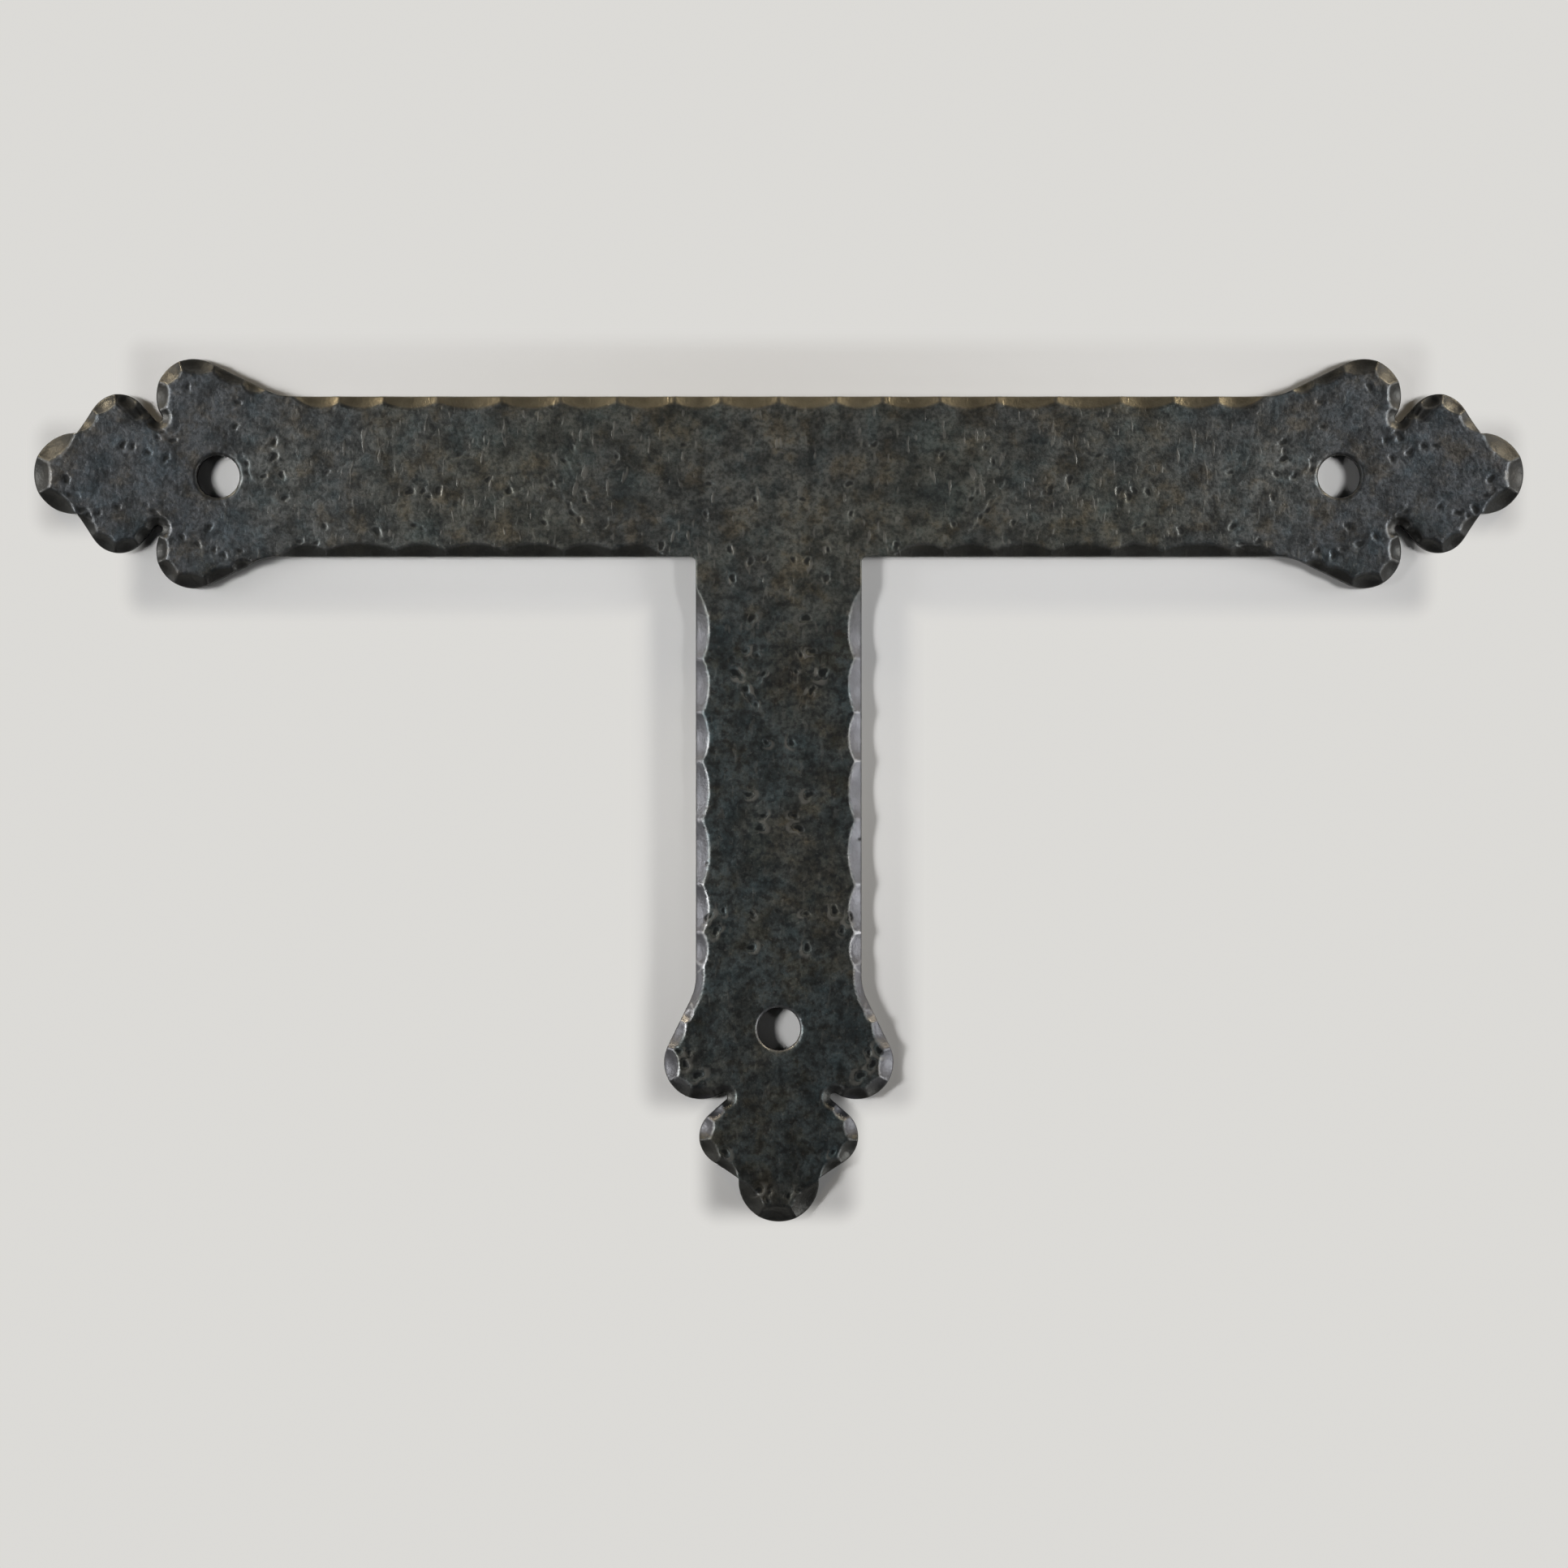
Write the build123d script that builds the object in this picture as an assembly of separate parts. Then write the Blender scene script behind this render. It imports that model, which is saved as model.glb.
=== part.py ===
from build123d import *
import math
import os

# Tee strap: one flat plate of forged iron with three arms that end in leaf-shaped finials.
# The back lies on z = 0, and the origin is where the centre lines of the three arms cross.
# Lengths are in millimetres and angles in degrees.

# Plate and arms
PLATE_THICKNESS = 5.0
ARM_REACH = 165.0           # from the crossing to the tip of each arm
BAR_WIDTH = 35.5
LEG_WIDTH = 36.7
BAR_FINIAL_RISE = 0.7       # the bar's finials sit this much above its centre line
INNER_CORNER_RADIUS = 1.2

# Finial, from the bar out to the tip
FLARE_RADIUS = 12.0
FLARE_ANGLE = 26.0
FINIAL_WIDTH = 50.8         # across both shoulders
SHOULDER_RADIUS = 8.2
SHOULDER_UNDERCUT = 31.0    # how far a shoulder curls back over its slit
SLIT_RADIUS = 0.9
SLIT_ANGLE = 48.6
NECK_WIDTH = 22.8           # left between the two slits
LEAF_WIDTH = 35.2
LEAF_RADIUS = 6.5
LEAF_FLANK_ANGLE = 57.0
TIP_RADIUS = 8.9
TIP_HALF_SWEEP = 95.0       # from the end of the tip round to the notch beside it

# Screw hole in each finial
HOLE_DIAMETER = 9.5
BAR_HOLE_SETBACK = 13.3     # from the slit roots back to the hole, on the bar's two arms
LEG_HOLE_SETBACK = 15.1     # the same on the leg
HOLE_CHAMFER = 0.4

# Hammer blows that bevel the top edge: each one leaves a hollow facet
BLOW_TILT = 35.0            # between a facet and the flat of the plate
EDGE_HOLLOW = 1.8           # depth of a facet on the straight edges
LOBE_HOLLOW = 1.4           # depth of a facet on the finials
BLOW_OVERLAP = 0.2          # share of its length by which a blow runs into the next
BLOW_INSET = 0.4            # edge left bare at the end of a row of blows
CORNER_REST = 6.5           # edge left bare beside an inner corner
DISH_REACH = 1.9            # how far the chisel's dish runs out past a slit root
DISH_DEPTH = 1.3

# Lengths of the blows in each row; a row is stretched to fit its edge
TOP_EDGE_BLOWS = (10.1, 10.1, 11.9, 14.2, 13.1, 12.6, 12.8, 10.3, 12.8)
UNDER_EDGE_BLOWS = (9.9, 15.7, 10.8, 13.1, 12.8, 11.0, 11.2)
LEG_EDGE_BLOWS = (9.4, 11.3, 14.9, 13.5, 11.2, 12.6, 16.2)
SHOULDER_BLOWS = (7.3, 6.5, 7.7, 7.7, 5.0)
LEAF_BLOWS = (6.2, 6.4, 5.8, 5.4)
TIP_BLOWS = (9.8, 9.0, 10.6)

CUTTER_MARGIN = 1.0         # how far a cutting body stands clear of what it cuts
STRAIGHT_SHARE = 0.95       # an undercut stops short of the curl that leaves no straight throat


def sine(angle):
    return math.sin(math.radians(angle))


def cosine(angle):
    return math.cos(math.radians(angle))


class HalfFinial:
    """One side of a finial's outline, from the tip back to the bar, with the arm along +X."""

    def __init__(self, edge_offset):
        """edge_offset is the distance from the finial's centre line to the bar's edge."""
        slit_height = NECK_WIDTH / 2 + SLIT_RADIUS
        shoulder_height = FINIAL_WIDTH / 2 - SHOULDER_RADIUS

        self.tip = CenterArc((ARM_REACH - TIP_RADIUS, 0), TIP_RADIUS, 0, TIP_HALF_SWEEP)
        leaf_start = LEAF_WIDTH / 2 - LEAF_RADIUS * (1 - cosine(LEAF_FLANK_ANGLE))
        flank_length = (leaf_start - (self.tip @ 1).Y) / sine(LEAF_FLANK_ANGLE)
        self.flank = PolarLine(self.tip @ 1, flank_length, 180 - LEAF_FLANK_ANGLE)
        self.leaf = JernArc(self.flank @ 1, self.flank % 1, LEAF_RADIUS, LEAF_FLANK_ANGLE + SLIT_ANGLE)

        slit_drop = (self.leaf @ 1).Y - slit_height + SLIT_RADIUS * cosine(SLIT_ANGLE)
        self.slit_wall = PolarLine(self.leaf @ 1, slit_drop / sine(SLIT_ANGLE), 180 + SLIT_ANGLE)
        full_curl = (shoulder_height - slit_height) / (SHOULDER_RADIUS + SLIT_RADIUS)
        curl_limit = STRAIGHT_SHARE * math.degrees(math.asin(min(full_curl, 1)))
        undercut = min(SHOULDER_UNDERCUT, curl_limit)
        slit_turn = 90 + SLIT_ANGLE + undercut
        self.slit_root = JernArc(self.slit_wall @ 1, self.slit_wall % 1, SLIT_RADIUS, -slit_turn)

        throat_rise = shoulder_height - SHOULDER_RADIUS * sine(undercut) - (self.slit_root @ 1).Y
        self.throat = PolarLine(self.slit_root @ 1, throat_rise / cosine(undercut), 90 - undercut)
        shoulder_turn = 90 + undercut + FLARE_ANGLE
        self.shoulder = JernArc(self.throat @ 1, self.throat % 1, SHOULDER_RADIUS, shoulder_turn)

        flare_room = (self.shoulder @ 1).Y - edge_offset
        fillet_share = 1 - cosine(FLARE_ANGLE)
        flare_radius = min(FLARE_RADIUS, flare_room / fillet_share / 2)
        flare_length = (flare_room - flare_radius * fillet_share) / sine(FLARE_ANGLE)
        self.flare = PolarLine(self.shoulder @ 1, flare_length, 180 + FLARE_ANGLE)
        self.fillet = JernArc(self.flare @ 1, self.flare % 1, flare_radius, -FLARE_ANGLE)

    def outline(self):
        return [
            self.tip, self.flank, self.leaf, self.slit_wall, self.slit_root,
            self.throat, self.shoulder, self.flare, self.fillet,
        ]

    def root_centre(self):
        return self.slit_root.arc_center

    def bar_edge(self, end):
        """The bar's straight edge, from this finial to a place along the arm."""
        start = self.fillet @ 1
        return Line(start, (end, start.Y))

    def cutters(self):
        """What the blows take off this side's leaf and shoulder, and the chisel off its slit root."""
        leaf_edge = Wire([self.flank, self.leaf, self.slit_wall])
        shoulder_edge = Wire([self.throat, self.shoulder, self.flare])
        bodies = row_of_blows(leaf_edge, LEAF_BLOWS, LOBE_HOLLOW)
        bodies += row_of_blows(shoulder_edge, SHOULDER_BLOWS, LOBE_HOLLOW)
        bodies.append(slit_dish(self.root_centre()))
        return bodies


def hammer_blow(edge, start, end, hollow):
    """What one blow takes off the top edge: part of a ball that sinks in between two places on it.

    The outline runs counter-clockwise, so the plate is on the left of the edge.
    """
    middle_place = (start + end) / 2
    middle = edge.position_at(middle_place, position_mode=PositionMode.LENGTH)
    along = edge.tangent_at(middle_place, position_mode=PositionMode.LENGTH)
    outward = Vector(along.Y, -along.X, 0)
    chords = [middle - edge.position_at(place, position_mode=PositionMode.LENGTH) for place in (start, end)]
    half_length = sum(chord.length for chord in chords) / 2
    drop = sum(chord.dot(outward) for chord in chords) / 2 * sine(BLOW_TILT)

    ball_radius = (half_length**2 - drop**2 + hollow**2) / (2 * hollow)
    depth = drop + hollow
    lift = outward * sine(BLOW_TILT) + Vector(0, 0, cosine(BLOW_TILT))
    top = middle + Vector(0, 0, PLATE_THICKNESS)
    ball_frame = Plane(top + lift * (ball_radius - depth), x_dir=lift, z_dir=along)
    ball = ball_frame * Sphere(ball_radius)

    # The ball is kept to its own side, so that it leaves the far wall of a slit alone
    outer_reach = SLIT_RADIUS / 2
    inner_reach = depth / sine(BLOW_TILT) + CUTTER_MARGIN
    lower_reach = depth / cosine(BLOW_TILT) + CUTTER_MARGIN
    side_frame = Plane(top, x_dir=along, z_dir=(0, 0, 1))
    side = Box(2 * (half_length + CUTTER_MARGIN), outer_reach + inner_reach, lower_reach + CUTTER_MARGIN)
    middle_of_side = Pos(0, (inner_reach - outer_reach) / 2, (CUTTER_MARGIN - lower_reach) / 2)
    return ball & (side_frame * middle_of_side * side)


def row_of_blows(edge, lengths, hollow):
    """The cutting bodies of a row of blows along one edge, bare at both ends."""
    scale = (edge.length - 2 * BLOW_INSET) / sum(lengths)
    place = BLOW_INSET
    bodies = []
    for number, length in enumerate(lengths):
        lap = BLOW_OVERLAP * length * scale
        start = place if number == 0 else place - lap
        place += length * scale
        end = place if number == len(lengths) - 1 else place + lap
        bodies.append(hammer_blow(edge, start, end, hollow))
    return bodies


def slit_dish(root_centre):
    """The round hollow that the chisel leaves about the root of a slit."""
    rim_radius = SLIT_RADIUS + DISH_REACH
    ball_radius = (rim_radius**2 + DISH_DEPTH**2) / (2 * DISH_DEPTH)
    height = PLATE_THICKNESS + ball_radius - DISH_DEPTH
    return Pos(root_centre.X, root_centre.Y, height) * Sphere(ball_radius)


def tip_cutters():
    """What the blows take off the round tip of an arm along +X."""
    tip_centre = (ARM_REACH - TIP_RADIUS, 0)
    tip = CenterArc(tip_centre, TIP_RADIUS, -TIP_HALF_SWEEP, 2 * TIP_HALF_SWEEP)
    return row_of_blows(tip, TIP_BLOWS, LOBE_HOLLOW)


def moved(shapes, location):
    return [location * shape for shape in shapes]


def mirrored(shapes, plane):
    return [shape.mirror(plane) for shape in shapes]


def screw_hole(x, y):
    """A round hole with a broken rim on the face."""
    bore = extrude(Pos(x, y) * Circle(HOLE_DIAMETER / 2), PLATE_THICKNESS)
    rim_radius = HOLE_DIAMETER / 2 + HOLE_CHAMFER
    rim_height = PLATE_THICKNESS - HOLE_CHAMFER / 2
    rim = Pos(x, y, rim_height) * Cone(HOLE_DIAMETER / 2, rim_radius, HOLE_CHAMFER)
    return [bore, rim]


def tee_strap():
    bar_frame = Pos(0, BAR_FINIAL_RISE)
    leg_frame = Rot(0, 0, -90)
    upper = HalfFinial(BAR_WIDTH / 2 - BAR_FINIAL_RISE)
    lower = HalfFinial(BAR_WIDTH / 2 + BAR_FINIAL_RISE)
    leg = HalfFinial(LEG_WIDTH / 2)

    # Right half of the outline: upper side of the bar, lower side, inner corner and leg
    under_edge = lower.bar_edge(LEG_WIDTH / 2 + INNER_CORNER_RADIUS)
    leg_edge = leg.bar_edge(BAR_WIDTH / 2 + INNER_CORNER_RADIUS)
    corner_centre = (LEG_WIDTH / 2 + INNER_CORNER_RADIUS, -BAR_WIDTH / 2 - INNER_CORNER_RADIUS)
    right_half = moved(upper.outline(), bar_frame)
    right_half += moved(mirrored(lower.outline() + [under_edge], Plane.XZ), bar_frame)
    right_half += [CenterArc(corner_centre, INNER_CORNER_RADIUS, 90, 90)]
    right_half += moved(leg.outline() + [leg_edge], leg_frame)

    top_start = (bar_frame * upper.fillet) @ 1
    top_edge = Line((top_start.X, top_start.Y), (-top_start.X, top_start.Y))
    face = make_face([top_edge] + right_half + mirrored(right_half, Plane.YZ))
    plate = extrude(face, PLATE_THICKNESS)

    # Hammer blows: those of the right half are repeated on the left
    under_row = lower.bar_edge(LEG_WIDTH / 2 + CORNER_REST)
    leg_row = leg.bar_edge(BAR_WIDTH / 2 + CORNER_REST)
    lower_cutters = lower.cutters() + row_of_blows(under_row, UNDER_EDGE_BLOWS, EDGE_HOLLOW)
    right_cutters = moved(upper.cutters() + mirrored(lower_cutters, Plane.XZ) + tip_cutters(), bar_frame)
    right_cutters += moved(leg.cutters() + row_of_blows(leg_row, LEG_EDGE_BLOWS, EDGE_HOLLOW), leg_frame)
    cutters = right_cutters + mirrored(right_cutters, Plane.YZ)
    cutters += moved(tip_cutters(), leg_frame)
    cutters += row_of_blows(top_edge, TOP_EDGE_BLOWS + TOP_EDGE_BLOWS[::-1], EDGE_HOLLOW)

    # One screw hole in each finial, on the centre line of its arm
    bar_hole_reach = lower.root_centre().X - BAR_HOLE_SETBACK
    leg_hole_reach = leg.root_centre().X - LEG_HOLE_SETBACK
    cutters += screw_hole(bar_hole_reach, 0) + screw_hole(-bar_hole_reach, 0)
    cutters += screw_hole(0, -leg_hole_reach)
    return plate - cutters


os.makedirs("parts", exist_ok=True)
export_step(tee_strap(), "parts/tee_strap.step")
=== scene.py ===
import math

import bpy
import numpy as np
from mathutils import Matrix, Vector, noise
from mathutils.bvhtree import BVHTree
from mathutils.geometry import delaunay_2d_cdt
from mathutils.kdtree import KDTree


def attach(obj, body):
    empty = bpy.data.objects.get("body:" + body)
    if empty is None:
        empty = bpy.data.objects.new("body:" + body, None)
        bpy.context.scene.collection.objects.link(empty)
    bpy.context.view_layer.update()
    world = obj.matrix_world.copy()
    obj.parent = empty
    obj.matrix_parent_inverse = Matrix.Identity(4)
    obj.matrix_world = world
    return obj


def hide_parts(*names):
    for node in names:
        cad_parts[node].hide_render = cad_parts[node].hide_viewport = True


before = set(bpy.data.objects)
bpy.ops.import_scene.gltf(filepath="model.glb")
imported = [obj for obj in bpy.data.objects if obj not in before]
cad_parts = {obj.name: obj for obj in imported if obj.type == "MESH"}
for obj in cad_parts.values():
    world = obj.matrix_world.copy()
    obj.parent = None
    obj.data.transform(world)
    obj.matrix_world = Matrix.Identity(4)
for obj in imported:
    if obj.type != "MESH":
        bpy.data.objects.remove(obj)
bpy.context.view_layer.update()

# Tee strap: one hand-forged, blackened iron plate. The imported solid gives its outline, its thickness
# and the balls that its hammer blows left. The plate is meshed again finely enough to carry the small
# marks of the hammer and chisel. Shapes are worked out in millimetres and written in metres.
MM = 0.001
NODE = "tee_strap"

# The photograph's frame, which places the marks and the camera
PHOTO_SIZE = 1932
PHOTO_ORIGIN = (959.5, 588.0)   # pixel of the crossing of the three arms
MM_PER_PIXEL = 0.18

# Telling the solid's faces apart by the vertical share of their normals
BACK_RISE = -0.99               # the back's is below this
FACET_RISES = (0.02, 0.999)     # the lowest on a hollow facet is between these

# Fineness of the mesh
RIM_STEP = 0.4                  # along the outline
EDGE_STEP = 0.4                 # between points in a band inside the outline
EDGE_BAND = 4.0
MARK_BAND = 1.8                 # the same round a pit or chisel mark
MARK_STEPS = 7                  # places along a chisel mark that this goes by
FACE_STEP = 0.7                 # between points on the rest of the face
RIDGE_GAP = 0.6                 # room beside a point on a facet's rim, as a share of EDGE_STEP
BAND_GAP = 0.25                 # room between fine and coarse points, as a share of FACE_STEP
STRAIGHT_RATIO = 1.5            # a piece of outline this much longer than the next one is straight
CORNER_ANGLE = 35.0             # the outline stays sharp where it turns by more than this
DECIMALS = 3                    # places that agree to so many decimals are one
TOLERANCE = 1e-5

# Softness of a worn forging
RIM_RADIUS = 0.3                # round of the outer edge
RIM_ROWS = 3
ROUND_MIDDLE = 0.3              # how far in the middle of a round lies, as a share of its radius
RIDGE_SOFTNESS = 0.32           # depth over which two hammered facets blend into one ridge
FACET_REACH = 0.6               # how far past its own rim a facet takes part in that
FACET_RISE = 0.5                # how much it is lifted by there
HOLE_WEAR = 0.5                 # how worn the rims of the holes are, as a share of a sharp ridge
WALL_WAVE = 0.1                 # how far the cut sides wander inward
WALL_WAVE_LENGTH = 5.0

# Unevenness of the hammered face
WAVE_DEPTH = 0.08
WAVE_LENGTH = 11.0
GRAIN_DEPTH = 0.03
GRAIN_LENGTH = 2.2
OCTAVES = 2
WAVE_SLICE, GRAIN_SLICE, WALL_SLICE = 0.0, 5.0, 9.0   # heights at which the noise is cut
DENT_SEED = 7
DENT_COUNT = 130
DENT_RADIUS = (3.5, 7.5)
DENT_DEPTH = (0.03, 0.1)
SPECK_COUNT = 260
SPECK_RADIUS = (0.5, 0.9)
SPECK_DEPTH = (0.06, 0.16)
SPECK_LIP = 0.1

# Pits seen on the left half of the photograph, in its pixels; the right half repeats them
PIT_RADIUS = 1.15
PIT_DEPTH = 0.26
PIT_SIZES = (0.8, 1.2)          # smallest and largest, as a share of these
PIT_WAVES = (0.28, 0.14)        # how far the outline strays from a circle, in two waves and in three
PIT_REACH = 2.6                 # how far a pit and its lip reach, as a share of the radius
PIT_LIP = 0.14                  # share of the depth that stands up on a pit's inner side
LIP_PLACE = 1.25                # of the lip's crest, as a share of the radius
LIP_WIDTH = 0.45
LIP_ANGLE = 30.0                # how far the lip turns from the plate's middle towards its foot
PITS = (
    (153, 550), (166, 551), (184, 558), (206, 566), (196, 540), (214, 544), (291, 527), (339, 546),
    (337, 566), (326, 588), (348, 586), (352, 615), (84, 591), (103, 629), (111, 637), (124, 633),
    (147, 625), (226, 662), (245, 671), (266, 678), (278, 685), (297, 679), (370, 668), (390, 672),
    (260, 650), (233, 478), (294, 497), (506, 607), (522, 606), (529, 613), (541, 605), (404, 583),
    (401, 649), (465, 655), (602, 592), (626, 607), (815, 673), (899, 678), (925, 692), (942, 690),
    (873, 597), (930, 616), (842, 549), (922, 979), (940, 1005), (935, 1020), (891, 1121),
    (926, 1125), (882, 1146), (872, 1130), (925, 1167), (836, 1294), (844, 1310), (849, 1296),
    (859, 1324), (893, 1418), (934, 1465), (904, 829), (917, 849), (918, 803), (944, 915),
    (903, 712), (926, 762),
)

# Chisel and scale marks seen there: from one pixel to another
GOUGE_WIDTH = 0.8
GOUGE_DEPTH = 0.26
GOUGE_REACH = 3.0               # how far a mark and its burr reach, as a share of the width
GOUGE_SWAY = 0.3                # how far a mark sways from its line, and how fast
GOUGE_SWAY_RATE = 1.7
GOUGE_PULSE = 0.3               # share by which the depth comes and goes, and how fast
GOUGE_PULSE_RATE = 3.0
GOUGE_END = 0.35                # share of the depth at the ends, and how near to them it stays even
GOUGE_END_REACH = 0.05
GOUGES = (
    ((680, 594), (684, 603)), ((692, 612), (722, 655)), ((713, 602), (729, 628)), ((693, 564), (700, 578)),
    ((703, 552), (710, 558)), ((758, 557), (759, 568)), ((624, 597), (633, 612)), ((871, 628), (869, 642)),
    ((900, 706), (903, 723)), ((82, 606), (98, 614)), ((334, 552), (345, 571)), ((941, 824), (937, 840)),
    ((931, 800), (935, 811)), ((912, 836), (907, 824)), ((925, 860), (918, 846)), ((931, 872), (927, 862)),
    ((947, 1463), (946, 1482)), ((205, 537), (198, 528)), ((505, 643), (523, 655)), ((557, 563), (582, 561)),
    ((301, 563), (309, 590)), ((183, 623), (203, 645)), ((667, 640), (673, 652)), ((747, 640), (745, 652)),
)

# Narrow bevel along the roots of the leg's flare
ROOT_WIDTH = 1.8
ROOT_REACH = 1.3 * ROOT_WIDTH   # how far in it still blends with the face
ROOT_DEPTH = 1.7                # at the outline
ROOT_ENDS = (-119.0, -105.0)    # how far down the leg it reaches

# Blunt scoop beside each upper slit, also seen there
SCOOP_WIDTH = 1.7
SCOOP_DEPTH = 0.55
SCOOP_POWER = 1.5               # of the curve of its section
SCOOPS = (((155, 495), (171, 512)),)

# The leg's bevels are painted paler between these heights, and in a spot beside each slit: a painted
# highlight standing in for the side light on them
LEG_HIGHLIGHT_START = (-20.0, -40.0)
LEG_HIGHLIGHT_END = (-137.0, -131.0)
LEG_HIGHLIGHT_SPOTS = ((872, 1374, 32),)
LEG_HIGHLIGHT_SPOT_FULL = 0.4           # strength of a spot from which its bevel is fully painted pale

# Dark stains and pale patches, with their radius; the pale patch at the crossing is painted light, lifting
# the middle where the lamps light it less
STAINS = ((767, 612, 34), (885, 782, 28), (900, 1035, 26), (172, 645, 24), (256, 702, 34), (868, 1262, 34))
PALE_PATCHES_AND_PAINTED_LIGHT = ((348, 590, 95), (959, 590, 150))


def to_plate(pixel):
    """The place on the plate, in millimetres, of a pixel of the photograph."""
    return np.array([pixel[0] - PHOTO_ORIGIN[0], PHOTO_ORIGIN[1] - pixel[1]]) * MM_PER_PIXEL


def both_halves(places):
    """Places on the plate and their mirror images across its middle."""
    return [place * side for place in places for side in (np.array([1, 1]), np.array([-1, 1]))]


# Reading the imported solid

def solid_mesh():
    """Points in millimetres, and triangles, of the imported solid."""
    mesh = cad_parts[NODE].data
    mesh.calc_loop_triangles()
    points = np.empty(len(mesh.vertices) * 3)
    mesh.vertices.foreach_get("co", points)
    triangles = np.empty(len(mesh.loop_triangles) * 3, int)
    mesh.loop_triangles.foreach_get("vertices", triangles)
    return points.reshape(-1, 3) / MM, triangles.reshape(-1, 3)


def face_labels(triangles, count):
    """For each point, the lowest point that it is joined to: one label for each face of the solid."""
    labels = np.arange(count)
    while True:
        lowest = labels[triangles].min(axis=1)
        spread = labels.copy()
        np.minimum.at(spread, triangles.ravel(), np.repeat(lowest, 3))
        if (spread == labels).all():
            return labels
        labels = spread


def upward(points, triangles):
    """The vertical share of each triangle's normal."""
    a, b, c = points[triangles].transpose(1, 0, 2)
    normals = np.cross(b - a, c - a)
    return normals[:, 2] / np.linalg.norm(normals, axis=1)


def fitted_ball(points):
    """Centre and radius of the ball that a hollow facet is part of."""
    rows = np.column_stack([2 * points, np.ones(len(points))])
    answer = np.linalg.lstsq(rows, (points**2).sum(axis=1), rcond=None)[0]
    centre = answer[:3]
    return centre, math.sqrt(answer[3] + centre @ centre)


def chained(edges):
    """Closed loops of points from the edges that join them."""
    following = dict(edges)
    loops = []
    while following:
        start, point = following.popitem()
        loop = [start]
        while point != start:
            loop.append(point)
            point = following.pop(point)
        loops.append(loop)
    return loops


def open_sides(triangles):
    """The sides of triangles that no other triangle shares."""
    sides = {(a, b) for t in triangles.tolist() for a, b in zip(t, t[1:] + t[:1])}
    return [(a, b) for a, b in sorted(sides) if (b, a) not in sides]


def outline_loops(points, triangles):
    """Loops round the back of the plate, each with the metal on its left as seen from above."""
    rim = [(b, a) for a, b in open_sides(triangles)]
    return [points[loop][:, :2] for loop in chained(rim)]


class Facet:
    """A hollow facet: the ball that it is part of, and the ground that it covers."""

    def __init__(self, points, triangles):
        self.centre, self.radius = fitted_ball(points)
        self.low = points[:, :2].min(axis=0) - FACET_REACH
        self.high = points[:, :2].max(axis=0) + FACET_REACH
        ground = [Vector((x, y, 0)) for x, y, z in points]
        self.ground = BVHTree.FromPolygons(ground, triangles.tolist())
        self.rim = np.round([points[list(side), :2] for side in open_sides(triangles)], DECIMALS)

    def heights(self, places):
        """Numbers of the places that the facet reaches, and its height there, lifted outside its rim."""
        near = ((places >= self.low) & (places <= self.high)).all(axis=1)
        numbers = []
        heights = []
        for number in np.flatnonzero(near):
            x, y = places[number]
            found = self.ground.find_nearest(Vector((x, y, 0)), FACET_REACH)
            away = math.hypot(x - self.centre[0], y - self.centre[1])
            if found[0] is None or away >= self.radius:
                continue
            fall = math.sqrt(self.radius**2 - away**2)
            numbers.append(number)
            heights.append(self.centre[2] - fall + FACET_RISE * (found[3] / FACET_REACH) ** 2)
        return np.array(numbers, int), np.array(heights)


class RootBevel:
    """The narrow bevel along the roots of the leg's flare."""

    def __init__(self, outline, thickness):
        self.low, self.high = ROOT_ENDS
        self.edge = outline[(outline[:, 1] > self.low) & (outline[:, 1] < self.high)]
        self.thickness = thickness

    def heights(self, places):
        """Numbers of the places that the bevel reaches, and its height there."""
        near = (places[:, 1] > self.low - ROOT_REACH) & (places[:, 1] < self.high + ROOT_REACH)
        numbers = np.flatnonzero(near)
        away = distance_to(self.edge, places[numbers])
        reached = away < ROOT_REACH
        return numbers[reached], self.thickness - ROOT_DEPTH * (1 - away[reached] / ROOT_WIDTH)


def read_solid():
    """Outline loops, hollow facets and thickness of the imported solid."""
    points, triangles = solid_mesh()
    labels = face_labels(triangles, len(points))
    rise = upward(points, triangles)
    thickness = points[:, 2].max()
    loops = outline_loops(points, triangles[rise < BACK_RISE])
    lowest, highest = FACET_RISES
    facets = []
    for label in np.unique(labels):
        own = labels[triangles[:, 0]] == label
        if lowest < rise[own].min() < highest:
            numbers, corners = np.unique(triangles[own], return_inverse=True)
            facets.append(Facet(points[numbers], corners.reshape(-1, 3)))
    return loops, facets, thickness


# Places of the mesh's points

def smooth_loop(loop):
    """A loop drawn again with short even steps, round where the solid's outline is round."""
    ahead = np.roll(loop, -1, axis=0) - loop
    length = np.linalg.norm(ahead, axis=1)
    direction = ahead / length[:, None]
    before = np.roll(direction, 1, axis=0)
    before_length = np.roll(length, 1)
    middle = direction + before
    middle /= np.linalg.norm(middle, axis=1)[:, None]
    corner = (direction * before).sum(axis=1) < math.cos(math.radians(CORNER_ANGLE))
    straight_ahead = length > STRAIGHT_RATIO * before_length
    straight_before = before_length > STRAIGHT_RATIO * length
    tangent = np.where(straight_ahead[:, None], direction, np.where(straight_before[:, None], before, middle))
    leaving = np.where(corner[:, None], direction, tangent)
    arriving = np.roll(np.where(corner[:, None], before, tangent), -1, axis=0)
    drawn = []
    for start, step, size, out, into in zip(loop, ahead, length, leaving, arriving):
        count = max(1, round(size / RIM_STEP))
        t = (np.arange(count) / count)[:, None]
        drawn.append(start + (3 * t**2 - 2 * t**3) * step
                     + (t**3 - 2 * t**2 + t) * size * out + (t**3 - t**2) * size * into)
    return np.vstack(drawn)


def inward_normals(loop):
    """Directions into the metal along a loop."""
    along = np.roll(loop, -1, axis=0) - np.roll(loop, 1, axis=0)
    along /= np.linalg.norm(along, axis=1)[:, None]
    return np.column_stack([-along[:, 1], along[:, 0]])


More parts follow.
